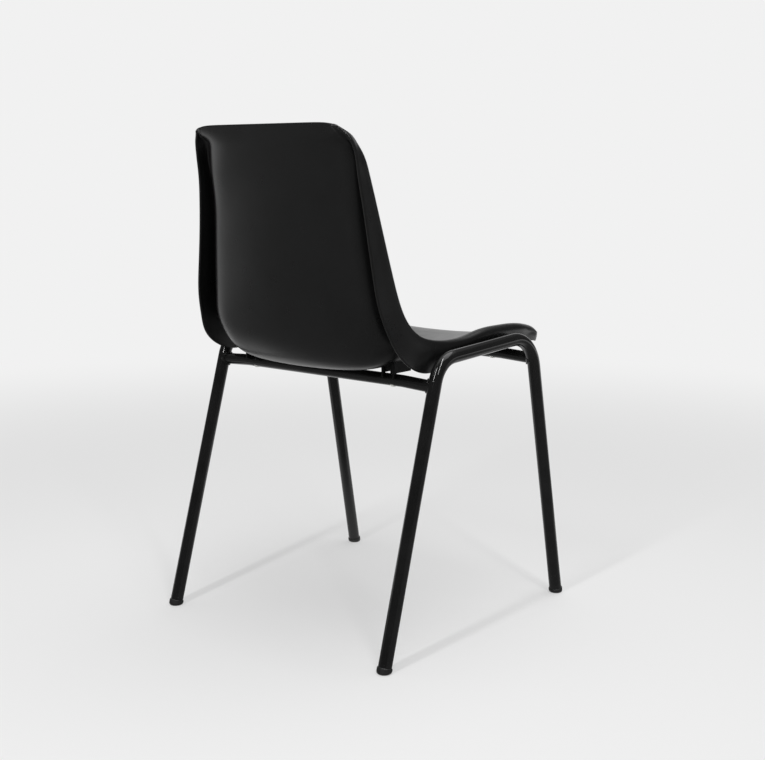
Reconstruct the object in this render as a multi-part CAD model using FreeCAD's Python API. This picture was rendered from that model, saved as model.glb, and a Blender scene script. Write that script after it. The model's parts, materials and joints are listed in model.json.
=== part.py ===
import FreeCAD, Part
import math
import os

# Stacking chair: a one-piece moulded shell on a welded tube frame. Millimetres, +Z up, floor at z = 0.
# The sitter faces -Y, and the chair is symmetric about the plane x = 0.

Vec = FreeCAD.Vector
UP = Vec(0, 0, 1)
SIDES = {"left": 1, "right": -1}

# ---- driving dimensions -------------------------------------------------------------------------

# Side frames: two inverted U bends of one tube each, leaning inwards and toed out at the front
LEG_D = 20.0
TUBE_WALL = 1.5
HALF_WIDTH = 220.9
LEAN = 0.0088
TOE = 0.0089
REAR_FOOT = (225.2, 0.0)
REAR_CORNER = (99.7, 430.1)
FRONT_CORNER = (-137.1, 443.2)
FRONT_FOOT = (-225.2, 0.0)
REAR_BEND_R = 45.0
FRONT_BEND_R = 58.0

# Cross tubes: straight between the screws, drooping slightly to the legs
CROSS_D = 18.0
REAR_TUBE = {"y": 108.9, "z": 395.2, "end_drop": 3.0}
FRONT_TUBE = {"y": -144.0, "z": 408.6, "end_drop": 3.0}
DROOP_START = 158.0
DROOP_BEND_R = 120.0
WELD_LEG = 2.4

# Foot glides
GLIDE_D = 22.6
GLIDE_HEIGHT = 9.0
GLIDE_PLUG_LENGTH = 24.0
GLIDE_SOLE_R = 4.0
GLIDE_RIM_R = 2.0
GLIDE_PLUG_GAP = 0.1

# Fixings: one screw up through each cross tube into each moulded boss
REAR_SCREW_X = 140.5
FRONT_SCREW_X = 142.0
SCREW_D = 5.0
SCREW_HEAD_D = 9.5
SCREW_HEAD_H = 3.0
SCREW_LENGTH = 31.0
PILOT_D = 5.2
PILOT_DEPTH = 25.0
TUBE_HOLE_D = 5.8
DIMPLE_D = 14.0
DIMPLE_DEPTH = 3.0
WASHER_D = 12.0
WASHER_T = 1.0

# Seat shell
SHELL_T = 4.0
BOSS_WIDTH = 24.0
BOSS_BACK = 14.0
BOSS_FRONT = 26.0
BOSS_RIB_T = 3.2
BOSS_RIB_GAP = 2.5
BOSS_FOOT = 4.5
BOSS_POST_D = 10.0
BOSS_WEB_GAP = 6.5
BOSS_HUG = 4.5
GROOVE_GAP = 0.15

# Shell stations, from the top edge of the back, down round the heel and forward to the front lip.
# Each has the middle of the panel (y, z), the crest of the rolled edge (x, y, z), the free edge of
# the flange (x, y, z), how the panel rises to its edge (the share that rises evenly, and the power of
# the rest, which is sharper for a higher power), and the radius of the roll. At the corners of the
# shell the roll opens out, and there a station also has the point (x, y, z) where the panel ends and
# the corner begins.
STATIONS = [
    ((234, 761.5), (138, 231, 757), (140.5, 229.5, 752), 0.30, 9, 4, (130, 232, 758.5)),
    ((232, 752), (146.5, 209, 747), (147.5, 224.5, 745.5), 0.30, 8, 4, (134, 224, 750)),
    ((229, 741), (145, 194, 740), (153, 220.5, 739), 0.30, 8, 4, (134, 212, 741)),
    ((226, 727), (143, 195.5, 725), (157, 216, 725), 0.30, 8, 5.5),
    ((218, 695), (151, 183.5, 693), (158.5, 210.5, 694), 0.30, 12, 5.5),
    ((213, 650), (154, 171, 650), (163, 205, 650), 0.30, 13, 5.5),
    ((209, 600), (161, 161, 600), (169, 201, 600), 0.30, 14, 5.5),
    ((206, 550), (169, 152, 550), (176, 198, 550), 0.30, 14, 5.5),
    ((203, 505), (176, 142, 507), (183, 193, 505), 0.30, 14, 5.5),
    ((197, 464), (181, 128, 480), (190, 182, 470), 0.30, 13, 5.5),
    ((187, 435), (183, 108, 464), (195.5, 171, 447), 0.30, 10, 6),
    ((167, 413), (184, 84, 456), (198.5, 152.5, 428), 0.25, 8, 6),
    ((138, 407), (185, 58, 452), (199, 125, 414), 0.20, 6, 7),
    ((103, 407), (186, 33, 451), (199, 93, 410), 0.25, 5, 8),
    ((48, 410), (186, -2, 453), (198, 38, 421), 0.35, 4, 9),
    ((-22, 417), (186, -47, 460), (198, -32, 430), 0.45, 4, 9),
    ((-92, 424), (186, -97, 461), (198, -92, 433), 0.50, 4, 9),
    ((-142, 428), (186, -132, 460), (198, -122, 433), 0.50, 4, 9),
    ((-176, 429), (184, -159, 456), (197, -145, 432), 0.50, 4, 9),
    ((-194, 426), (195, -190, 463), (197, -163, 430), 0.50, 4, 9, (170, -186, 445)),
    ((-203, 419), (193, -208, 450), (195, -180, 428), 0.50, 4, 9, (166, -199, 433)),
    ((-206, 410), (185, -207, 430), (191, -190, 426), 0.50, 4, 9, (160, -205, 420)),
]
PANEL_STEPS = (0.15, 0.30, 0.45, 0.58, 0.69, 0.78, 0.85, 0.91, 0.955, 0.985, 1.0)
ROLL_STEPS = (0.25, 0.5, 0.75, 1.0)
FLANGE_STEPS = (0.35, 0.7, 1.0)
CORNER_STEPS = (0.12, 0.25, 0.4, 0.55, 0.7, 0.85, 1.0)
TOP_FLATNESS = 12

os.makedirs("parts", exist_ok=True)


def write(shape, name):
    """Write one sub-part to its own STEP file."""
    shape.exportStep("parts/" + name + ".step")
    print("%-28s valid %s  solids %d  volume %.0f" % (name, shape.isValid(), len(shape.Solids), shape.Volume))


# ---- general helpers ----------------------------------------------------------------------------

def rounded_path(points, radii):
    """Straight runs through the points, joined by tangent arcs of the given radii."""
    edges = []
    start = points[0]
    for corner, following, radius in zip(points[1:-1], points[2:], radii):
        incoming = (corner - start).normalize()
        outgoing = (following - corner).normalize()
        half_turn = incoming.getAngle(outgoing) / 2
        reach = radius * math.tan(half_turn)
        bisector = (outgoing - incoming).normalize()
        centre = corner + bisector * (radius / math.cos(half_turn))
        arc_start = corner - incoming * reach
        arc_end = corner + outgoing * reach
        edges.append(Part.LineSegment(start, arc_start).toShape())
        edges.append(Part.Arc(arc_start, centre - bisector * radius, arc_end).toShape())
        start = arc_end
    edges.append(Part.LineSegment(start, points[-1]).toShape())
    return Part.Wire(edges)


def rod(path, diameter):
    """Solid round bar along a path."""
    first = path.Edges[0]
    direction = first.tangentAt(first.FirstParameter)
    circle = Part.makeCircle(diameter / 2, first.valueAt(first.FirstParameter), direction)
    return path.makePipeShell([Part.Wire(circle)], True, True)


def round_bar(start, end, diameter):
    """Straight round bar between two points."""
    return Part.makeCylinder(diameter / 2, (end - start).Length, start, end - start)


def mirrored(point, side):
    return Vec(point.x * side, point.y, point.z)


# ---- frame --------------------------------------------------------------------------------------

def frame_point(side, y, z):
    """Point of a side frame's plane."""
    return Vec(side * (HALF_WIDTH - TOE * y - LEAN * z), y, z)


def side_path(side):
    """Centreline of one side frame, from the rear foot over the rail to the front foot."""
    corners = [REAR_FOOT, REAR_CORNER, FRONT_CORNER, FRONT_FOOT]
    points = [frame_point(side, y, z) for y, z in corners]
    rear_axis = (points[1] - points[0]).normalize()
    front_axis = (points[2] - points[3]).normalize()
    points[0] += rear_axis * GLIDE_HEIGHT
    points[3] += front_axis * GLIDE_HEIGHT
    return rounded_path(points, [REAR_BEND_R, FRONT_BEND_R])


def leg_line(side, foot, corner):
    """Foot point and upward direction of a leg."""
    bottom = frame_point(side, *foot)
    return bottom, (frame_point(side, *corner) - bottom).normalize()


def cross_path(tube):
    """Centreline of a cross tube, from the left leg to the right leg."""
    end_x = frame_point(1, tube["y"], tube["z"]).x
    points = []
    for x in (end_x, DROOP_START, -DROOP_START, -end_x):
        drop = tube["end_drop"] if abs(x) > DROOP_START else 0.0
        points.append(Vec(x, tube["y"], tube["z"] - drop))
    return rounded_path(points, [DROOP_BEND_R, DROOP_BEND_R])


def screw_point(tube, side, screw_x):
    return Vec(side * screw_x, tube["y"], tube["z"])


def cross_tube(tube, screw_x, side_bars):
    """Cross tube, coped to the legs, with a pressed dimple and a through hole for each screw."""
    path = cross_path(tube)
    outer = rod(path, CROSS_D)
    shape = outer.cut(rod(path, CROSS_D - 2 * TUBE_WALL))
    for side in SIDES.values():
        centre = screw_point(tube, side, screw_x)
        floor = centre - UP * (CROSS_D / 2)
        cup = Part.makeCylinder(DIMPLE_D / 2 + TUBE_WALL, DIMPLE_DEPTH + TUBE_WALL, floor)
        shape = shape.fuse(cup.common(outer))
        shape = shape.cut(Part.makeCylinder(DIMPLE_D / 2, DIMPLE_DEPTH, floor))
        shape = shape.cut(Part.makeCylinder(TUBE_HOLE_D / 2, 2 * CROSS_D, centre - UP * CROSS_D))
    for bar in side_bars:
        shape = shape.cut(bar)
    return shape.removeSplitter()


def weld(tube, side, bar):
    """Bead of weld in the corner between a cross tube's end and the leg."""
    path = cross_path(tube)
    leg_end = frame_point(side, tube["y"], tube["z"] - tube["end_drop"])
    near = Part.makeSphere(LEG_D, leg_end)
    inner = rod(path, CROSS_D).common(near)
    outer = rod(path, CROSS_D + 2 * WELD_LEG).common(near)
    fat_leg = round_bar(*leg_span(tube, side), LEG_D + 2 * WELD_LEG)
    return outer.common(fat_leg).cut(inner).cut(bar)


def leg_span(tube, side):
    """Stretch of the leg's centreline beside a cross tube's end."""
    foot, corner = (REAR_FOOT, REAR_CORNER) if tube is REAR_TUBE else (FRONT_FOOT, FRONT_CORNER)
    bottom, direction = leg_line(side, foot, corner)
    middle = (tube["z"] - tube["end_drop"]) / direction.z
    return bottom + direction * (middle - LEG_D), bottom + direction * (middle + LEG_D)


def foot_glide(side, foot, corner):
    """Moulded glide: a plug inside the leg, and a rounded collar cut flat where it meets the floor."""
    bottom, direction = leg_line(side, foot, corner)
    below = GLIDE_D / 2
    plug_d = LEG_D - 2 * TUBE_WALL - 2 * GLIDE_PLUG_GAP
    collar = Part.makeCylinder(GLIDE_D / 2, GLIDE_HEIGHT + below, bottom - direction * below, direction)
    collar = collar.cut(Part.makeBox(200, 200, 100, Vec(bottom.x - 100, bottom.y - 100, -100)))
    sole = [edge for edge in collar.Edges if edge.BoundBox.ZMax < 0.1]
    collar = collar.makeFillet(GLIDE_SOLE_R, sole)
    rim = [edge for edge in collar.Edges
           if isinstance(edge.Curve, Part.Circle) and edge.BoundBox.ZMin > GLIDE_SOLE_R]
    collar = collar.makeFillet(GLIDE_RIM_R, rim)
    plug_start = bottom + direction * (GLIDE_HEIGHT - 2)
    plug = Part.makeCylinder(plug_d / 2, GLIDE_PLUG_LENGTH, plug_start, direction)
    return collar.fuse(plug).removeSplitter()


# ---- fixings ------------------------------------------------------------------------------------

def seat_washer(tube, side, screw_x):
    seat = screw_point(tube, side, screw_x) + UP * (DIMPLE_DEPTH - CROSS_D / 2 - WASHER_T)
    ring = Part.makeCylinder(WASHER_D / 2, WASHER_T, seat)
    return ring.cut(Part.makeCylinder(TUBE_HOLE_D / 2, 3 * WASHER_T, seat - UP * WASHER_T))


def seat_screw(tube, side, screw_x):
    """Domed screw with a cross recess, pointing up."""
    under_head = screw_point(tube, side, screw_x) + UP * (DIMPLE_DEPTH - CROSS_D / 2 - WASHER_T)
    head = Part.makeCylinder(SCREW_HEAD_D / 2, SCREW_HEAD_H, under_head - UP * SCREW_HEAD_H)
    head = head.makeFillet(SCREW_HEAD_H * 0.7, [edge for edge in head.Edges
                                                if edge.BoundBox.ZMax < under_head.z - SCREW_HEAD_H * 0.9])
    shank = Part.makeCylinder(SCREW_D / 2, SCREW_LENGTH - SCREW_D, under_head)
    tip = Part.makeCone(SCREW_D / 2, 0.6, SCREW_D, under_head + UP * (SCREW_LENGTH - SCREW_D))
    slot_length, slot_width, slot_depth = 5.2, 1.1, 1.8
    recess_base = under_head - UP * SCREW_HEAD_H
    recess = Part.makeBox(slot_length, slot_width, slot_depth,
                          recess_base - Vec(slot_length / 2, slot_width / 2, 0))
    crossed = Part.makeBox(slot_width, slot_length, slot_depth,
                           recess_base - Vec(slot_width / 2, slot_length / 2, 0))
    return head.fuse([shank, tip]).cut(recess.fuse(crossed)).removeSplitter()


# ---- seat shell ---------------------------------------------------------------------------------

def panel_points(index, wing_end):
    """Points of one station from the middle of the panel to its edge."""
    middle, _, _, even_share, power = STATIONS[index][:5]
    points = [Vec(0, *middle)]
    for step in PANEL_STEPS:
        rise = even_share * step ** 2 + (1 - even_share) * step ** power
        lift = step ** TOP_FLATNESS if index == 0 else rise
        points.append(Vec(wing_end.x * step,
                          middle[0] + (wing_end.y - middle[0]) * rise,
                          middle[1] + (wing_end.z - middle[1]) * lift))
    return points


def panel_end_slope(index, wing_end):
    """Direction in which the panel of one station reaches its edge."""
    middle, _, _, even_share, power = STATIONS[index][:5]
    steepness = 2 * even_share + power * (1 - even_share)
    return Vec(wing_end.x, (wing_end.y - middle[0]) * steepness, (wing_end.z - middle[1]) * steepness)


def rolled_row(index):
    """One station, from the middle of the panel over the rolled edge to the flange's free edge."""
    crest = Vec(*STATIONS[index][1])
    edge = Vec(*STATIONS[index][2])
    radius = STATIONS[index][5]
    back = (edge - crest).normalize()
    out = (Vec(1, 0, 0) - back * back.x).normalize()
    axis = crest + back * (radius + SHELL_T / 2)
    start_angle = panel_end_slope(index, crest).getAngle(back * -1)
    end_angle = math.pi + math.asin(radius / (edge - axis).Length)
    angles = [start_angle + (end_angle - start_angle) * step for step in (0.0,) + ROLL_STEPS]
    roll = [axis - (out * math.cos(angle) + back * math.sin(angle)) * radius for angle in angles]
    points = panel_points(index, roll[0]) + roll[1:]
    flange_start = points[-1]
    return points + [flange_start + (edge - flange_start) * step for step in FLANGE_STEPS]


def corner_row(index):
    """One station at a corner of the shell, where the edge turns over in one open curve."""
    crest = Vec(*STATIONS[index][1])
    edge = Vec(*STATIONS[index][2])
    wing_end = Vec(*STATIONS[index][6])
    points = panel_points(index, wing_end)
    for step in CORNER_STEPS:
        points.append(wing_end * (1 - step) ** 2 + crest * (2 * step * (1 - step)) + edge * step ** 2)
    return points


def full_row(index):
    half = corner_row(index) if len(STATIONS[index]) == 7 else rolled_row(index)
    return [mirrored(point, -1) for point in reversed(half[1:])] + half


def mean_parameters(lines):
    """Running length along a family of lines, averaged over the family."""
    parameters = [0.0]
    for step in range(1, len(lines[0])):
        lengths = [(line[step] - line[step - 1]).Length for line in lines]
        parameters.append(parameters[-1] + sum(lengths) / len(lengths))
    return parameters


def smooth_curve(points, parameters):
    curve = Part.BSplineCurve()
    curve.interpolate(Points=points, Parameters=parameters)
    return curve


def smooth_surface(rows, row_parameters, column_parameters):
    """Bicubic surface through a grid of points, smooth along both families of grid lines."""
    across = [smooth_curve(row, column_parameters) for row in rows]
    pole_columns = zip(*[curve.getPoles() for curve in across])
    along = [smooth_curve(list(column), row_parameters) for column in pole_columns]
    poles = [list(line) for line in zip(*[curve.getPoles() for curve in along])]
    surface = Part.BSplineSurface()
    surface.buildFromPolesMultsKnots(poles, along[0].getMultiplicities(), across[0].getMultiplicities(),
                                     along[0].getKnots(), across[0].getKnots(), False, False, 3, 3)
    return surface


def with_midpoints(parameters):
    halves = [(first + second) / 2 for first, second in zip(parameters, parameters[1:])]
    return sorted(parameters + halves)


def skin(surface, row_parameters, column_parameters, distance):
    """Smooth surface at a distance from another, measured along its normal."""
    dense_rows = with_midpoints(row_parameters)
    dense_columns = with_midpoints(column_parameters)
    grid = [[surface.value(u, v) + surface.normal(u, v) * distance for v in dense_columns]
            for u in dense_rows]
    return smooth_surface(grid, dense_rows, dense_columns)


def side_curves(surface):
    """The four border curves of a surface."""
    u_first, u_last, v_first, v_last = surface.bounds()
    return [surface.uIso(u_first), surface.uIso(u_last), surface.vIso(v_first), surface.vIso(v_last)]


def shell_solid(front, rear):
    """Closed solid between two skins."""
    faces = [front.toShape(), rear.toShape()]
    for front_side, rear_side in zip(side_curves(front), side_curves(rear)):
        faces.append(Part.makeRuledSurface(front_side.toShape(), rear_side.toShape()))
    sewn = Part.Shell(faces)
    sewn.sewShape()
    solid = Part.Solid(sewn)
    if solid.Volume < 0:
        solid.reverse()
    return solid


def boss(tube, side, screw_x, middle_surface):
    """Moulded mount: a web, two ribs over the cross tube with a foot behind it, and a screw post."""
    centre = screw_point(tube, side, screw_x)
    tube_top = centre.z + CROSS_D / 2
    tall = 60.0
    depth = BOSS_FRONT + BOSS_BACK
    front_y = centre.y - BOSS_FRONT
    foot_y = centre.y + BOSS_BACK - BOSS_FOOT
    rib_x = centre.x - BOSS_WIDTH / 2
    body = Part.makeBox(BOSS_WIDTH, depth, tall, Vec(rib_x, front_y, tube_top + BOSS_WEB_GAP))
    for x in (rib_x, rib_x + BOSS_WIDTH - BOSS_RIB_T):
        body = body.fuse(Part.makeBox(BOSS_RIB_T, depth, tall, Vec(x, front_y, tube_top + BOSS_RIB_GAP)))
        body = body.fuse(Part.makeBox(BOSS_RIB_T, BOSS_FOOT, tall, Vec(x, foot_y, tube_top - BOSS_HUG)))
    body = body.fuse(Part.makeCylinder(BOSS_POST_D / 2, tall, Vec(centre.x, centre.y, centre.z)))
    body = body.cut(rod(cross_path(tube), CROSS_D + 2 * GROOVE_GAP))
    body = body.cut(Part.makeCylinder(PILOT_D / 2, PILOT_DEPTH, centre))
    above = middle_surface.toShape().extrude(UP * 2 * tall)
    return body.cut(above)


def seat_shell():
    rows = [full_row(index) for index in range(len(STATIONS))]
    row_parameters = mean_parameters(list(zip(*rows)))
    column_parameters = mean_parameters(rows)
    middle_surface = smooth_surface(rows, row_parameters, column_parameters)
    front = skin(middle_surface, row_parameters, column_parameters, SHELL_T / 2)
    rear = skin(middle_surface, row_parameters, column_parameters, -SHELL_T / 2)
    shape = shell_solid(front, rear)
    for tube, screw_x in ((REAR_TUBE, REAR_SCREW_X), (FRONT_TUBE, FRONT_SCREW_X)):
        for side in SIDES.values():
            shape = shape.fuse(boss(tube, side, screw_x, middle_surface))
    return shape


# ---- assembly -----------------------------------------------------------------------------------

write(seat_shell(), "seat_shell")

side_bars = []
for side_name, side in SIDES.items():
    path = side_path(side)
    bar = rod(path, LEG_D)
    side_bars.append(bar)
    write(bar.cut(rod(path, LEG_D - 2 * TUBE_WALL)), "side_frame_" + side_name)
    for end_name, foot, corner in (("rear", REAR_FOOT, REAR_CORNER), ("front", FRONT_FOOT, FRONT_CORNER)):
        write(foot_glide(side, foot, corner), "foot_glide_%s_%s" % (end_name, side_name))

for end_name, tube, screw_x in (("rear", REAR_TUBE, REAR_SCREW_X), ("front", FRONT_TUBE, FRONT_SCREW_X)):
    write(cross_tube(tube, screw_x, side_bars), end_name + "_cross_tube")
    for (side_name, side), bar in zip(SIDES.items(), side_bars):
        place = "%s_%s" % (end_name, side_name)
        write(weld(tube, side, bar), "weld_" + place)
        write(seat_washer(tube, side, screw_x), "seat_washer_" + place)
        write(seat_screw(tube, side, screw_x), "seat_screw_" + place)
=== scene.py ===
import json
import math

import bmesh
import bpy
import numpy as np
from mathutils import Matrix, Vector
from mathutils.bvhtree import BVHTree


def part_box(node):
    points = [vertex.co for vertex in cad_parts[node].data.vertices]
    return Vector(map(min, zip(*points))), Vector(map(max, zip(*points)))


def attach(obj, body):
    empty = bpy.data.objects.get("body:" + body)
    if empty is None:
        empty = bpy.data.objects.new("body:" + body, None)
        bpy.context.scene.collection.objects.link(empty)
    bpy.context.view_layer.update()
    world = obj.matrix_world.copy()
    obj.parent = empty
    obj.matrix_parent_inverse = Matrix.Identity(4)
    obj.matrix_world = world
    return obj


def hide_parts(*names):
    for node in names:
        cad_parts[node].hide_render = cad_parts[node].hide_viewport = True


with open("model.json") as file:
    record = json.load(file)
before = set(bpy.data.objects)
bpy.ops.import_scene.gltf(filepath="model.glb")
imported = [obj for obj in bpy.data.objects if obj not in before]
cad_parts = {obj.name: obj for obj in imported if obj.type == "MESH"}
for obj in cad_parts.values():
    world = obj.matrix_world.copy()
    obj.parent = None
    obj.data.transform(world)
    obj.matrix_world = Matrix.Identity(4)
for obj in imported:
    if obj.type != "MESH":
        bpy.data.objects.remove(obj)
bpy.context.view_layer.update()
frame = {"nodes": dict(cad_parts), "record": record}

# Stacking chair: a black moulded shell on a gloss black tube frame. Metres, +Z up, floor at z = 0.
# The sitter faces -Y, and the chair is symmetric about the plane x = 0.

BODY = "root"
MM = 0.001
UP = Vector((0, 0, 1))
SIDES = {"left": 1, "right": -1}

# ---- driving dimensions, in millimetres -----------------------------------------------------------

SHELL_T = 4.0
TOP_FLATNESS = 12
CROSS_D = 18.0

# Shell stations, from the top edge of the back, down round the heel and forward to the front lip.
# Each has the middle of the panel (y, z), the crest of the rolled edge (x, y, z), the free edge of
# the flange (x, y, z), how the panel rises to its edge (the share that rises evenly, and the power of
# the rest), and the radius of the roll. At the corners of the shell the roll opens out, and there a
# station also has the point (x, y, z) where the panel ends and the corner begins.
STATIONS = [
    ((234, 761.5), (138, 231, 757), (140.5, 229.5, 752), 0.30, 9, 4, (130, 232, 758.5)),
    ((232, 752), (146.5, 209, 747), (147.5, 224.5, 745.5), 0.30, 8, 4, (134, 224, 750)),
    ((229, 741), (145, 194, 740), (153, 220.5, 739), 0.30, 8, 4, (134, 212, 741)),
    ((226, 727), (143, 195.5, 725), (157, 216, 725), 0.30, 8, 5.5),
    ((218, 695), (151, 183.5, 693), (158.5, 210.5, 694), 0.30, 12, 5.5),
    ((213, 650), (154, 171, 650), (163, 205, 650), 0.30, 13, 5.5),
    ((209, 600), (161, 161, 600), (169, 201, 600), 0.30, 14, 5.5),
    ((206, 550), (169, 152, 550), (176, 198, 550), 0.30, 14, 5.5),
    ((203, 505), (176, 142, 507), (183, 193, 505), 0.30, 14, 5.5),
    ((197, 464), (181, 128, 480), (190, 182, 470), 0.30, 13, 5.5),
    ((187, 435), (183, 108, 464), (195.5, 171, 447), 0.30, 10, 6),
    ((167, 413), (184, 84, 456), (198.5, 152.5, 428), 0.25, 8, 6),
    ((138, 407), (185, 58, 452), (199, 125, 414), 0.20, 6, 7),
    ((103, 407), (186, 33, 451), (199, 93, 410), 0.25, 5, 8),
    ((48, 410), (186, -2, 453), (198, 38, 421), 0.35, 4, 9),
    ((-22, 417), (186, -47, 460), (198, -32, 430), 0.45, 4, 9),
    ((-92, 424), (186, -97, 461), (198, -92, 433), 0.50, 4, 9),
    ((-142, 428), (186, -132, 460), (198, -122, 433), 0.50, 4, 9),
    ((-176, 429), (184, -159, 456), (197, -145, 432), 0.50, 4, 9),
    ((-194, 426), (195, -190, 463), (197, -163, 430), 0.50, 4, 9, (170, -186, 445)),
    ((-203, 419), (193, -208, 450), (195, -180, 428), 0.50, 4, 9, (166, -199, 433)),
    ((-206, 410), (185, -207, 430), (191, -190, 426), 0.50, 4, 9, (160, -205, 420)),
]
PANEL_STEPS = (0.15, 0.30, 0.45, 0.58, 0.69, 0.78, 0.85, 0.91, 0.955, 0.985, 1.0)
ROLL_STEPS = (0.25, 0.5, 0.75, 1.0)
FLANGE_STEPS = (0.35, 0.7, 1.0)
CORNER_STEPS = (0.12, 0.25, 0.4, 0.55, 0.7, 0.85, 1.0)
RIM_ANGLES = (15, 30, 45, 60, 75, 90)
ROW_SPACING = 5.0
COLUMN_SPACING = 4.0
FINE_SPACING = 1.2
FINE_LIMIT = 9.0

# The front corners are eased between two stations, so that no crease shows across the flange
EASE_FROM = 16
EASE_TO = 20
EASE_RUN = 14.0
EASE_PASSES = 24

# Moulded bosses: ribs, cross webs, stiffeners beside the screw post, and the post itself
BOSS_WIDTH = 24.0
BOSS_BACK = 14.0
BOSS_FRONT = 26.0
BOSS_RIB_T = 3.2
BOSS_RIB_GAP = 2.5
BOSS_FOOT = 4.5
BOSS_HUG = 4.5
BOSS_RIB_SAMPLES = 21
BOSS_DRAFT = 0.5
BOSS_EDGE_R = 0.5
BOSS_WEB_GAP = 6.5
BOSS_WEB_T = 3.0
BOSS_WEB_INSET = 3.5
BOSS_STIFFENER_T = 2.4
BOSS_OVERLAP = 0.5
BOSS_POST_D = 10.0
BOSS_BORE_R = 2.7
POST_GAP = 0.3
BELOW_SEAT = 330.0

# ---- camera and studio, in metres; azimuth and elevation in degrees, roll in radians ---------------

CAMERA_PLACE = Vector((-1.2579, 1.4942, 0.6976))
CAMERA_AZIMUTH = 219.416
CAMERA_ELEVATION = 9.659
CAMERA_ROLL = 0.0028
CAMERA_LENS = 58.07
TO_CAMERA = (-0.635, 0.7725, 0.0)
BACKDROP = 0.88
FLOOR_RADIUS = 60.0
FLOOR_GREY = 0.82
REFLECTED_GREY = 0.2


# ---- mesh helpers ---------------------------------------------------------------------------------

def mesh_piece(name, vertices, faces, material, replaced):
    """Object from vertices in metres, riding on the chair's body in place of CAD nodes."""
    mesh = bpy.data.meshes.new(name)
    mesh.from_pydata([tuple(vertex) for vertex in vertices], [], faces)
    mesh.validate()
    tidy = bmesh.new()
    tidy.from_mesh(mesh)
    bmesh.ops.recalc_face_normals(tidy, faces=tidy.faces)
    tidy.to_mesh(mesh)
    tidy.free()
    mesh.shade_smooth()
    piece = bpy.data.objects.new(name, mesh)
    bpy.context.scene.collection.objects.link(piece)
    mesh.materials.append(material)
    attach(piece, BODY)
    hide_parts(*replaced)
    return piece


def soften(piece, width, segments=3):
    """Round the sharp edges of a piece."""
    bevel = piece.modifiers.new("edges", "BEVEL")
    bevel.width = width * MM
    bevel.segments = segments
    bevel.limit_method = "ANGLE"
    bevel.angle_limit = math.radians(40)
    bevel.harden_normals = True
    piece.data.shade_smooth()


# ---- shader helpers -------------------------------------------------------------------------------

def add_node(tree, kind, inputs, **settings):
    """Add a node; each input is a number, a colour or another node's output socket."""
    made = tree.nodes.new(kind)
    for name, value in settings.items():
        setattr(made, name, value)
    for key, value in inputs.items():
        if isinstance(value, bpy.types.NodeSocket):
            tree.links.new(value, made.inputs[key])
        else:
            made.inputs[key].default_value = value
    return made


def noise(tree, place, scale, detail=3.0, roughness=0.55):
    made = add_node(tree, "ShaderNodeTexNoise",
                    {"Vector": place, "Scale": scale, "Detail": detail, "Roughness": roughness})
    return made.outputs["Fac"]


def ramp(tree, value, low, high, start=0.0, end=1.0):
    """Value mapped from low..high to start..end, held at both ends."""
    made = add_node(tree, "ShaderNodeMapRange",
                    {"Value": value, "From Min": low, "From Max": high, "To Min": start, "To Max": end},
                    interpolation_type="SMOOTHSTEP")
    return made.outputs["Result"]


def math_node(tree, operation, first, second):
    return add_node(tree, "ShaderNodeMath", {0: first, 1: second}, operation=operation).outputs[0]


def colour_mix(tree, factor, first, second):
    made = add_node(tree, "ShaderNodeMix", {}, data_type="RGBA")
    for socket, value in zip((made.inputs[0], made.inputs[6], made.inputs[7]), (factor, first, second)):
        if isinstance(value, bpy.types.NodeSocket):
            tree.links.new(value, socket)
        else:
            socket.default_value = value
    return made.outputs[2]


def bump(tree, height, distance, strength=1.0, normal=None):
    inputs = {"Height": height, "Distance": distance, "Strength": strength}
    if normal is not None:
        inputs["Normal"] = normal
    return add_node(tree, "ShaderNodeBump", inputs).outputs["Normal"]


def new_material(name):
    material = bpy.data.materials.new(name)
    material.use_nodes = True
    tree = material.node_tree
    surface = tree.nodes["Principled BSDF"]
    place = tree.nodes.new("ShaderNodeTexCoord").outputs["Object"]
    return material, tree, surface, place


def grey(value, warmth=0.0):
    return (value * (1 + warmth), value, value * (1 - warmth), 1.0)


# ---- materials ------------------------------------------------------------------------------------

def shell_plastic(name, shine):
    """Black polypropylene: fine spark texture, slow sheen changes, and edges polished by use."""
    material, tree, surface, place = new_material(name)
    cloud = noise(tree, place, 7.0, 4.0)
    patches = noise(tree, place, 38.0, 5.0, 0.6)
    grain = noise(tree, place, 2600.0, 2.0, 0.6)
    waves = noise(tree, place, 16.0, 1.0)
    point = add_node(tree, "ShaderNodeNewGeometry", {}).outputs["Pointiness"]
    worn = math_node(tree, "MULTIPLY", ramp(tree, point, 0.515, 0.56), ramp(tree, patches, 0.35, 0.7))
    base = colour_mix(tree, ramp(tree, cloud, 0.3, 0.7), grey(0.0035), grey(0.0055, -0.02))
    base = colour_mix(tree, math_node(tree, "MULTIPLY", worn, 0.35), base, grey(0.02))
    tree.links.new(base, surface.inputs["Base Color"])
    rough = ramp(tree, patches, 0.25, 0.75, 0.27, 0.32)
    rough = math_node(tree, "SUBTRACT", rough, math_node(tree, "MULTIPLY", worn, 0.08))
    tree.links.new(rough, surface.inputs["Roughness"])
    slow = bump(tree, waves, 0.0006, 0.35)
    tree.links.new(bump(tree, grain, 0.00003, 0.2, slow), surface.inputs["Normal"])
    surface.inputs["IOR"].default_value = 1.49
    surface.inputs["Specular IOR Level"].default_value = shine
    return material


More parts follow.
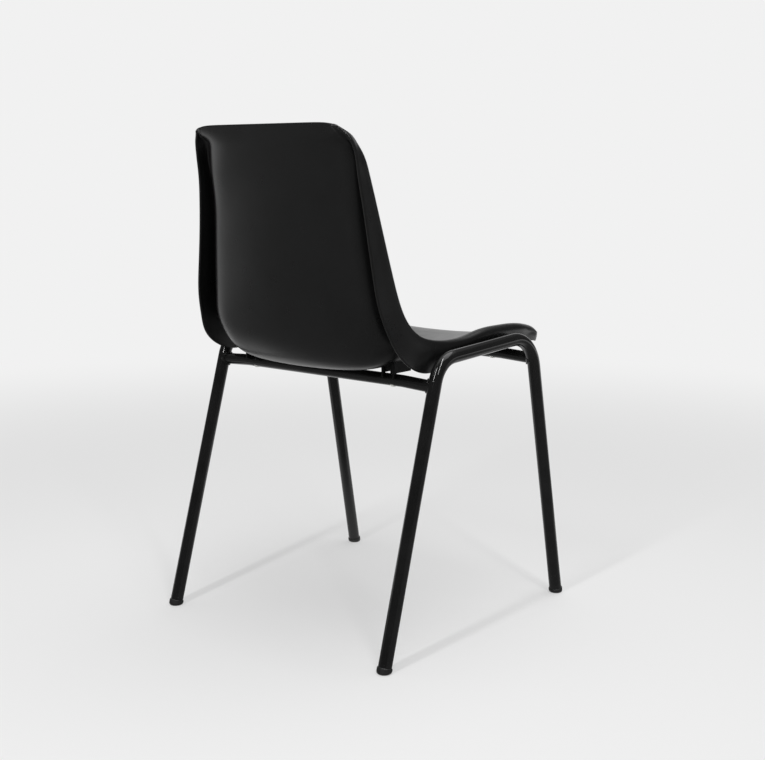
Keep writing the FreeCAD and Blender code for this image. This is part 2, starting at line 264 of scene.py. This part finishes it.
def black_enamel(name, lumps):
    """Gloss black powder coat: faint orange peel, and small scratches low on the legs."""
    material, tree, surface, place = new_material(name)
    peel = noise(tree, place, 420.0, 2.0)
    cloud = noise(tree, place, 30.0, 4.0)
    height = add_node(tree, "ShaderNodeSeparateXYZ", {0: place}).outputs["Z"]
    low = ramp(tree, height, 0.10, 0.005)
    nicks = ramp(tree, noise(tree, place, 520.0, 4.0, 0.7), 0.66, 0.72)
    nicks = math_node(tree, "MULTIPLY", nicks, low)
    base = colour_mix(tree, ramp(tree, cloud, 0.3, 0.7), grey(0.005), grey(0.008))
    base = colour_mix(tree, nicks, base, grey(0.12))
    tree.links.new(base, surface.inputs["Base Color"])
    rough = ramp(tree, cloud, 0.25, 0.75, 0.05, 0.09)
    rough = math_node(tree, "ADD", rough, math_node(tree, "MULTIPLY", nicks, 0.3))
    tree.links.new(rough, surface.inputs["Roughness"])
    beaded = bump(tree, noise(tree, place, 330.0, 1.0), lumps)
    tree.links.new(bump(tree, peel, 0.00008, 0.5, beaded), surface.inputs["Normal"])
    return material


def glide_plastic():
    """Black nylon, matt, with a greyer scuffed sole."""
    material, tree, surface, place = new_material("glide_plastic")
    cloud = noise(tree, place, 90.0, 5.0, 0.65)
    height = add_node(tree, "ShaderNodeSeparateXYZ", {0: place}).outputs["Z"]
    scuffed = math_node(tree, "MULTIPLY", ramp(tree, height, 0.004, 0.0002), ramp(tree, cloud, 0.35, 0.6))
    base = colour_mix(tree, ramp(tree, cloud, 0.3, 0.7), grey(0.009), grey(0.014))
    base = colour_mix(tree, scuffed, base, grey(0.06, 0.05))
    tree.links.new(base, surface.inputs["Base Color"])
    tree.links.new(ramp(tree, cloud, 0.2, 0.8, 0.42, 0.6), surface.inputs["Roughness"])
    tree.links.new(bump(tree, noise(tree, place, 1500.0), 0.00005, 0.5), surface.inputs["Normal"])
    return material


def zinc_steel():
    """Bright zinc plate with a faint warm tint, duller in patches."""
    material, tree, surface, place = new_material("zinc_steel")
    cloud = noise(tree, place, 260.0, 4.0, 0.6)
    base = colour_mix(tree, ramp(tree, cloud, 0.3, 0.7), (0.70, 0.70, 0.68, 1), (0.82, 0.81, 0.77, 1))
    tree.links.new(base, surface.inputs["Base Color"])
    surface.inputs["Metallic"].default_value = 0.3
    tree.links.new(ramp(tree, cloud, 0.2, 0.8, 0.22, 0.42), surface.inputs["Roughness"])
    tree.links.new(bump(tree, noise(tree, place, 1800.0), 0.00003, 0.6), surface.inputs["Normal"])
    return material


MATERIALS = {
    "shell_plastic": shell_plastic("shell_plastic", 0.5),
    "black_enamel": black_enamel("black_enamel", 0.0),
    "glide_plastic": glide_plastic(),
    "zinc_steel": zinc_steel(),
}
# Copy of the shell plastic with much weaker reflections, for the bosses and screw posts under the seat:
# painted shade standing in for the shade that falls there
PAINTED_SHADE_PLASTIC = shell_plastic("painted_shade_plastic", 0.12)
WELDED_ENAMEL = black_enamel("welded_enamel", 0.0012)


# ---- seat shell -----------------------------------------------------------------------------------

def vec(*numbers):
    return np.array(numbers, float)


def unit(vector):
    return vector / np.linalg.norm(vector)


def panel_points(index, wing_end):
    """Points of one station from the middle of the panel to its edge."""
    middle, _, _, even_share, power = STATIONS[index][:5]
    points = [vec(0, *middle)]
    for step in PANEL_STEPS:
        rise = even_share * step ** 2 + (1 - even_share) * step ** power
        lift = step ** TOP_FLATNESS if index == 0 else rise
        points.append(vec(wing_end[0] * step,
                          middle[0] + (wing_end[1] - middle[0]) * rise,
                          middle[1] + (wing_end[2] - middle[1]) * lift))
    return points


def panel_end_slope(index, wing_end):
    """Direction in which the panel of one station reaches its edge."""
    middle, _, _, even_share, power = STATIONS[index][:5]
    steepness = 2 * even_share + power * (1 - even_share)
    rise, lift = wing_end[1] - middle[0], wing_end[2] - middle[1]
    return unit(vec(wing_end[0], rise * steepness, lift * steepness))


def rolled_row(index):
    """One station, from the middle of the panel over the rolled edge to the flange's free edge."""
    crest, edge = vec(*STATIONS[index][1]), vec(*STATIONS[index][2])
    radius = STATIONS[index][5]
    back = unit(edge - crest)
    out = unit(vec(1, 0, 0) - back * back[0])
    axis = crest + back * (radius + SHELL_T / 2)
    start_angle = math.acos(-np.dot(panel_end_slope(index, crest), back))
    end_angle = math.pi + math.asin(radius / np.linalg.norm(edge - axis))
    angles = [start_angle + (end_angle - start_angle) * step for step in (0.0,) + ROLL_STEPS]
    roll = [axis - (out * math.cos(angle) + back * math.sin(angle)) * radius for angle in angles]
    points = panel_points(index, roll[0]) + roll[1:]
    return points + [roll[-1] + (edge - roll[-1]) * step for step in FLANGE_STEPS]


def corner_row(index):
    """One station at a corner of the shell, where the edge turns over in one open curve."""
    crest, edge, wing_end = (vec(*STATIONS[index][place]) for place in (1, 2, 6))
    points = panel_points(index, wing_end)
    for step in CORNER_STEPS:
        points.append(wing_end * (1 - step) ** 2 + crest * (2 * step * (1 - step)) + edge * step ** 2)
    return points


def full_row(index):
    half = corner_row(index) if len(STATIONS[index]) == 7 else rolled_row(index)
    return [point * vec(-1, 1, 1) for point in reversed(half[1:])] + half


def spline_weights(knots, places):
    """Matrix that takes values at the knots to a natural cubic spline's values at the places."""
    count = len(knots)
    gaps = np.diff(knots)
    system = np.eye(count)
    right = np.zeros((count, count))
    for i in range(1, count - 1):
        before, after = gaps[i - 1], gaps[i]
        system[i, i - 1:i + 2] = before, 2 * (before + after), after
        right[i, i - 1:i + 2] = 6 / before, -6 / before - 6 / after, 6 / after
    bending = np.linalg.solve(system, right)
    weights = np.zeros((len(places), count))
    for row, place in enumerate(places):
        i = int(np.clip(np.searchsorted(knots, place) - 1, 0, count - 2))
        b = (place - knots[i]) / gaps[i]
        a = 1 - b
        weights[row, i] += a
        weights[row, i + 1] += b
        weights[row] += ((a ** 3 - a) * bending[i] + (b ** 3 - b) * bending[i + 1]) * gaps[i] ** 2 / 6
    return weights


def dense_places(knots, spacing, fine_spacing):
    """Parameters along a family of lines: even between knots, and close together at both rims."""
    rim = [SHELL_T / 2 * (1 - math.cos(math.radians(angle))) for angle in RIM_ANGLES]
    places = [0.0, knots[-1]] + rim + [knots[-1] - step for step in rim]
    for start, end in zip(knots, knots[1:]):
        gap = end - start
        count = math.ceil(gap / (fine_spacing if gap < FINE_LIMIT else spacing))
        places += [start + gap * step / count for step in range(count)]
    margin = SHELL_T / 2
    inner = [place for place in places if margin < place < knots[-1] - margin]
    border = [place for place in places if not margin + 1 < place < knots[-1] - margin - 1]
    border = [place for place in border if place not in knots or place in (0.0, knots[-1])]
    return np.array(sorted(set(inner + border)))


def distance_to_rim(grid, axis):
    """Length along the grid lines to the nearer rim, at each point."""
    steps = np.linalg.norm(np.diff(grid, axis=axis), axis=2)
    run = np.cumsum(steps, axis=axis)
    padding = [(0, 0), (0, 0)]
    padding[axis] = (1, 0)
    run = np.pad(run, padding)
    total = run.take([-1], axis=axis)
    return np.minimum(run, total - run)


def relax_rows(grid, row_places, start, end):
    """Even out a grid from row to row between two row parameters, most in the middle of the stretch."""
    share = np.clip((row_places - start) / EASE_RUN, 0, 1) * np.clip((end - row_places) / EASE_RUN, 0, 1)
    for _ in range(EASE_PASSES):
        grid[1:-1] += share[1:-1, None, None] * ((grid[:-2] + grid[2:]) / 2 - grid[1:-1]) / 2


def shell_skins():
    """Front and rear skin as grids of points: a smooth surface through the stations, thickened."""
    rows = np.array([full_row(index) for index in range(len(STATIONS))])
    row_knots = np.concatenate([[0], np.cumsum(np.linalg.norm(np.diff(rows, axis=0), axis=2).mean(1))])
    column_knots = np.concatenate([[0], np.cumsum(np.linalg.norm(np.diff(rows, axis=1), axis=2).mean(0))])
    row_places = dense_places(row_knots, ROW_SPACING, ROW_SPACING)
    column_places = dense_places(column_knots, COLUMN_SPACING, FINE_SPACING)

    def surface(row_shift, column_shift):
        along = spline_weights(row_knots, np.clip(row_places + row_shift, 0, row_knots[-1]))
        across = spline_weights(column_knots, np.clip(column_places + column_shift, 0, column_knots[-1]))
        return np.einsum("ri,ijk,cj->rck", along, rows, across)

    probe = 0.05
    middle = surface(0, 0)
    normals = np.cross(surface(probe, 0) - surface(-probe, 0), surface(0, probe) - surface(0, -probe))
    normals /= np.linalg.norm(normals, axis=2, keepdims=True)
    if normals[len(row_places) // 4, len(column_places) // 2, 1] > 0:
        normals = -normals
    for grid in (middle, normals):
        relax_rows(grid, row_places, row_knots[EASE_FROM], row_knots[EASE_TO])
    normals /= np.linalg.norm(normals, axis=2, keepdims=True)
    half = SHELL_T / 2
    thickness = np.full(middle.shape[:2], half)
    for axis in (0, 1):
        share = np.clip(distance_to_rim(middle, axis) / half, 0, 1)
        thickness *= np.sqrt(1 - (1 - share) ** 2)
    return middle + normals * thickness[..., None], middle - normals * thickness[..., None]


def closed_mesh(front, rear):
    """Vertices and faces of two grids that share their rims."""
    height, width = front.shape[:2]
    front_ids = np.arange(height * width).reshape(height, width)
    rear_ids = front_ids.copy()
    inner = np.arange((height - 2) * (width - 2)).reshape(height - 2, width - 2)
    rear_ids[1:-1, 1:-1] = height * width + inner
    vertices = np.concatenate([front.reshape(-1, 3), rear[1:-1, 1:-1].reshape(-1, 3)])
    faces = []
    for ids, forward in ((front_ids, True), (rear_ids, False)):
        for i in range(height - 1):
            for j in range(width - 1):
                face = (ids[i, j], ids[i + 1, j], ids[i + 1, j + 1], ids[i, j + 1])
                faces.append([int(corner) for corner in (face if forward else reversed(face))])
    return vertices, faces


def seat_shell(material):
    """The moulded shell, with rounded rims."""
    vertices, faces = closed_mesh(*shell_skins())
    return mesh_piece("seat_shell_moulding", vertices * MM, faces, material, ["seat_shell"])


# ---- bosses ---------------------------------------------------------------------------------------

def underside(tree, x, y):
    """Height of the shell's underside above a point, in millimetres."""
    hit = tree.ray_cast(Vector((x, y, BELOW_SEAT)) * MM, UP)[0]
    return hit.z / MM


def wall(x_range, y_range, bottoms, tree, draft):
    """Upright wall under the shell as vertices and faces; its top follows the shell's underside."""
    embed = 1.5
    levels = 5
    lines = len(bottoms)
    vertices = []
    for step in range(lines):
        y = y_range[0] + (y_range[1] - y_range[0]) * step / (lines - 1)
        for side, x in enumerate(x_range):
            top = underside(tree, x, y) + embed
            for level in range(levels):
                share = level / (levels - 1)
                lean = draft * share ** 2 * (1 if side else -1)
                vertices.append((x + lean, y, bottoms[step] + (top - bottoms[step]) * share))
    faces = []
    span = 2 * levels
    for step in range(lines - 1):
        a, b = step * span, (step + 1) * span
        for level in range(levels - 1):
            c, d = a + levels + level, b + levels + level
            faces.append((a + level, a + level + 1, b + level + 1, b + level))
            faces.append((c, d, d + 1, c + 1))
        faces.append((a, b, b + levels, a + levels))
        top_a, top_b = a + levels - 1, b + levels - 1
        faces.append((top_a, top_a + levels, top_b + levels, top_b))
    for a in (0, (lines - 1) * span):
        for level in range(levels - 1):
            faces.append((a + level, a + levels + level, a + levels + level + 1, a + level + 1))
    return vertices, faces


def seat_boss(name, screw, tube_z, tree, material):
    """Moulded mount: two ribs over the cross tube, each with a foot behind it, and cross webs."""
    x, y = screw.x / MM, screw.y / MM
    tube_top = tube_z + CROSS_D / 2
    web_bottoms = [tube_top + BOSS_WEB_GAP] * 3
    rib_bottoms = []
    for step in range(BOSS_RIB_SAMPLES):
        across = -BOSS_FRONT + (BOSS_FRONT + BOSS_BACK) * step / (BOSS_RIB_SAMPLES - 1)
        is_foot = across > BOSS_BACK - BOSS_FOOT
        rib_bottoms.append(tube_top - BOSS_HUG if is_foot else tube_top + BOSS_RIB_GAP)
    walls = []
    for side in (-1, 1):
        outer = x + side * BOSS_WIDTH / 2
        inner = outer - side * BOSS_RIB_T
        y_range = (y - BOSS_FRONT, y + BOSS_BACK)
        walls.append(wall(sorted((outer, inner)), y_range, rib_bottoms, tree, BOSS_DRAFT))
    half_gap = BOSS_WIDTH / 2 - BOSS_RIB_T + BOSS_OVERLAP
    for side, reach in ((-1, BOSS_FRONT), (1, BOSS_BACK)):
        outer = y + side * (reach - BOSS_WEB_INSET)
        inner = outer - side * BOSS_WEB_T
        walls.append(wall((x - half_gap, x + half_gap), sorted((outer, inner)), web_bottoms, tree, 0.0))
    for side in (-1, 1):
        x_range = sorted((x + side * BOSS_POST_D * 0.4, x + side * (BOSS_WIDTH / 2 - BOSS_RIB_T / 2)))
        y_range = (y - BOSS_STIFFENER_T / 2, y + BOSS_STIFFENER_T / 2)
        walls.append(wall(x_range, y_range, web_bottoms, tree, 0.0))
    vertices, faces = [], []
    for wall_vertices, wall_faces in walls:
        start = len(vertices)
        vertices += wall_vertices
        faces += [[start + corner for corner in face] for face in wall_faces]
    piece = mesh_piece(name, np.array(vertices) * MM, faces, material, ["seat_shell"])
    soften(piece, BOSS_EDGE_R)


def screw_post(name, screw, tube_z, tree, material):
    """Round post around a seat screw, flared where it grows out of the shell."""
    x, y = screw.x / MM, screw.y / MM
    segments = 40
    rim = 0.6
    post_r = BOSS_POST_D / 2
    base_z = tube_z + CROSS_D / 2 + POST_GAP
    profile = [(BOSS_BORE_R, 8.0), (BOSS_BORE_R, rim), (BOSS_BORE_R + rim, 0.0), (post_r - rim, 0.0),
               (post_r, rim), (post_r + 0.3, 6.0), (post_r + 1.2, None)]
    vertices, faces = [], []
    for segment in range(segments):
        angle = 2 * math.pi * segment / segments
        for radius, rise in profile:
            px, py = x + radius * math.cos(angle), y + radius * math.sin(angle)
            z = underside(tree, px, py) + 1.0 if rise is None else base_z + rise
            vertices.append((px, py, z))
    length = len(profile)
    for segment in range(segments):
        a, b = segment * length, (segment + 1) % segments * length
        for step in range(length - 1):
            faces.append((a + step, b + step, b + step + 1, a + step + 1))
    faces.append([segment * length for segment in range(segments)])
    faces.append([segment * length + length - 1 for segment in range(segments)])
    mesh_piece(name, np.array(vertices) * MM, faces, material, ["seat_shell"])


def node_middle(node):
    low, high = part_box(node)
    return (low + high) / 2


# ---- build ----------------------------------------------------------------------------------------

shell = seat_shell(MATERIALS["shell_plastic"])
shell_tree = BVHTree.FromObject(shell, bpy.context.evaluated_depsgraph_get())

for node, owner in frame["nodes"].items():
    slot = next(part["material_slot"] for part in frame["record"]["subparts"] if part["node"] == node)
    owner.data.materials.clear()
    owner.data.materials.append(WELDED_ENAMEL if node.startswith("weld_") else MATERIALS[slot])

for end in ("rear", "front"):
    tube_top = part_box(end + "_cross_tube")[1].z / MM
    tube_z = tube_top - CROSS_D / 2
    for side_name, side in SIDES.items():
        place = "%s_%s" % (end, side_name)
        screw = node_middle("seat_screw_" + place)
        # Bosses and posts take the plastic copy with painted shade, which reflects far less than the shell
        seat_boss("seat_boss_" + place, screw, tube_z, shell_tree, PAINTED_SHADE_PLASTIC)
        screw_post("screw_post_" + place, screw, tube_z, shell_tree, PAINTED_SHADE_PLASTIC)


# ---- stage ----------------------------------------------------------------------------------------

def studio_floor():
    """Wide pale floor that fades into the backdrop far from the chair, and reflects dimmer than it is."""
    mesh = bpy.data.meshes.new("studio_floor")
    disc = bmesh.new()
    bmesh.ops.create_circle(disc, cap_ends=True, segments=96, radius=FLOOR_RADIUS)
    disc.to_mesh(mesh)
    disc.free()
    floor = bpy.data.objects.new("studio_floor", mesh)
    bpy.context.scene.collection.objects.link(floor)
    material = bpy.data.materials.new("studio_floor")
    material.use_nodes = True
    tree = material.node_tree
    tree.nodes.clear()
    place = tree.nodes.new("ShaderNodeTexCoord").outputs["Object"]
    away = add_node(tree, "ShaderNodeVectorMath", {0: place}, operation="LENGTH").outputs["Value"]
    matt = add_node(tree, "ShaderNodeBsdfDiffuse", {"Color": grey(FLOOR_GREY)}).outputs[0]
    glow = add_node(tree, "ShaderNodeEmission", {"Color": grey(BACKDROP), "Strength": 1.0}).outputs[0]
    fade = ramp(tree, away, 0.8, 2.8, 0.5, 1.0)
    mixed = add_node(tree, "ShaderNodeMixShader", {0: fade, 1: matt, 2: glow}).outputs[0]
    behind = add_node(tree, "ShaderNodeVectorMath", {0: place, 1: TO_CAMERA}, operation="DOT_PRODUCT")
    dim = add_node(tree, "ShaderNodeEmission", {"Color": grey(REFLECTED_GREY), "Strength": 1.0}).outputs[0]
    glossy = tree.nodes.new("ShaderNodeLightPath").outputs["Is Glossy Ray"]
    behind_place = behind.outputs["Value"]
    far_side = ramp(tree, behind_place, -0.9, -0.25)
    far_shade = math_node(tree, "MULTIPLY", far_side, ramp(tree, away, 0.5, 1.05))
    near_shade = ramp(tree, behind_place, -0.28, 0.05)
    shade = math_node(tree, "MULTIPLY", math_node(tree, "MAXIMUM", far_shade, near_shade), glossy)
    final = add_node(tree, "ShaderNodeMixShader", {0: shade, 1: mixed, 2: dim}).outputs[0]
    add_node(tree, "ShaderNodeOutputMaterial", {"Surface": final})
    mesh.materials.append(material)


def studio_world():
    """White backdrop before the camera, dimmer studio behind it."""
    world = bpy.data.worlds.new("studio")
    bpy.context.scene.world = world
    world.use_nodes = True
    tree = world.node_tree
    tree.nodes.clear()
    direction = tree.nodes.new("ShaderNodeTexCoord").outputs["Generated"]
    facing = add_node(tree, "ShaderNodeVectorMath", {0: direction, 1: TO_CAMERA}, operation="DOT_PRODUCT")
    height = add_node(tree, "ShaderNodeSeparateXYZ", {0: direction}).outputs["Z"]
    side_light = ramp(tree, facing.outputs["Value"], -0.74, -0.99, 0.11, 0.87)
    overhead = math_node(tree, "MULTIPLY", ramp(tree, height, 0.5, 0.95, 0.0, 0.9),
                         ramp(tree, facing.outputs["Value"], 0.3, -0.3))
    seen_light = math_node(tree, "MAXIMUM", side_light, overhead)
    is_camera = tree.nodes.new("ShaderNodeLightPath").outputs["Is Camera Ray"]
    strength = add_node(tree, "ShaderNodeMix", {0: is_camera, 2: seen_light, 3: BACKDROP}).outputs[0]
    background = add_node(tree, "ShaderNodeBackground", {"Color": (1, 1, 1, 1), "Strength": strength})
    add_node(tree, "ShaderNodeOutputWorld", {"Surface": background.outputs[0]})


def softbox(name, azimuth, elevation, distance, size, power):
    """Area light aimed at the chair, from an azimuth round +Z (0 is +X) and an elevation, in degrees."""
    light = bpy.data.lights.new(name, "AREA")
    light.shape = "RECTANGLE"
    light.size, light.size_y = size
    light.energy = power
    lamp = bpy.data.objects.new(name, light)
    turn, tilt = math.radians(azimuth), math.radians(elevation)
    aim = Vector((0, 0, 0.4))
    away = Vector((math.cos(turn) * math.cos(tilt), math.sin(turn) * math.cos(tilt), math.sin(tilt)))
    lamp.location = aim + away * distance
    lamp.rotation_euler = away.to_track_quat("Z", "Y").to_euler()
    bpy.context.scene.collection.objects.link(lamp)


def camera():
    data = bpy.data.cameras.new("camera")
    data.lens = CAMERA_LENS
    data.sensor_width = 36.0
    data.clip_end = 200.0
    eye = bpy.data.objects.new("camera", data)
    turn, tilt = math.radians(CAMERA_AZIMUTH), math.radians(CAMERA_ELEVATION)
    look = Vector((-math.sin(turn) * math.cos(tilt), math.cos(turn) * math.cos(tilt), -math.sin(tilt)))
    eye.matrix_world = (Matrix.Translation(CAMERA_PLACE) @ look.to_track_quat("-Z", "Y").to_matrix().to_4x4()
                        @ Matrix.Rotation(CAMERA_ROLL, 4, "Z"))
    bpy.context.scene.collection.objects.link(eye)
    bpy.context.scene.camera = eye


studio_floor()
studio_world()
softbox("overhead", 245, 72, 2.6, (2.4, 1.6), 18)
softbox("key_high_left", 97, 39, 2.6, (0.12, 1.7), 25)
softbox("key_high_right", 150, 60, 2.6, (0.11, 3.2), 34)
camera()
bpy.context.scene.view_settings.view_transform = "Standard"
